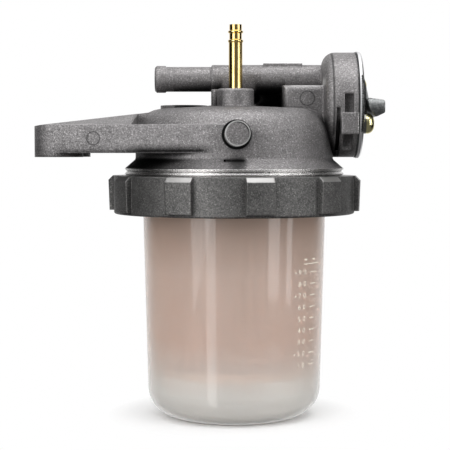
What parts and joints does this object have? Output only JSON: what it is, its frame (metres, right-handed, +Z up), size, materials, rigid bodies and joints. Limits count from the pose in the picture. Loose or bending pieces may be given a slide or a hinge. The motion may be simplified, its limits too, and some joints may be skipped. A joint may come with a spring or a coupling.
{
  "type": "fuel filter assembly",
  "caption": "Fuel filter with a cast head on a mounting arm, hose stubs, a cock valve, a lobed ring nut and a translucent cup holding a pleated element.",
  "frame": {"origin": "centre of the cup's flat base, on the cup's axis", "axes": "+Z up the cup's axis, +X towards the valve, -Y towards the front, the side of the brass pipe"},
  "size_m": [0.1119, 0.0883, 0.1274],
  "materials": {
    "cast_head": "rough as-cast, tumbled",
    "cast_ring": "rough as-cast with turned top",
    "cast_lever": "smooth die-cast",
    "brass_pipe": "polished",
    "plain_tube": "drawn",
    "clear_cup": "translucent, milky, glossy",
    "black_rubber": "matte",
    "filter_paper": "resin-treated paper",
    "element_caps": "matte",
    "element_tube": "matte",
    "spring_steel": "bright drawn wire",
    "plated_cover": "bright zinc plated",
    "yellow_screws": "yellow zinc plated"
  },
  "bodies": {
    "head": {"head_casting": "cast_head", "return_pipe": "brass_pipe", "standpipe": "plain_tube", "valve_seal": "black_rubber", "cover_gasket": "black_rubber", "cover_plate": "plated_cover", "cover_screw_front": "yellow_screws", "cover_screw_rear": "yellow_screws"},
    "lever": {"valve_lever": "cast_lever", "lever_o_ring": "black_rubber", "wave_washer": "spring_steel"},
    "element": {"element_media": "filter_paper", "element_top_cap": "element_caps", "element_bottom_cap": "element_caps", "element_core": "element_tube", "element_grommet": "black_rubber"},
    "cup": {"bowl": "clear_cup", "bowl_seal": "black_rubber", "element_spring": "spring_steel"},
    "ring": {"ring_nut": "cast_ring"}
  },
  "joints": [
    {"name": "valve_turn", "type": "hinge", "parent": "head", "child": "lever", "pos_m": [0.042, 0, 0.10205], "axis": [-1, 0, 0], "range_deg": [0, 90]},
    {"name": "cup_removal", "type": "slide", "parent": "head", "child": "element", "axis": [0, 0, -1], "range_m": [0, 0.04]},
    {"name": "cup_travel", "type": "slide", "parent": "element", "child": "cup", "axis": [0, 0, -1], "range_m": [0, 0.00525], "deforming": ["element_spring"]},
    {"name": "ring_turn", "type": "hinge", "parent": "cup", "child": "ring", "pos_m": [0, 0, 0.07], "axis": [0, 0, -1], "range_deg": [0, 1256]}
  ],
  "couplings": [
    {"joint": "cup_travel", "follows": "ring_turn", "m_per_rad": 0.00023873}
  ]
}
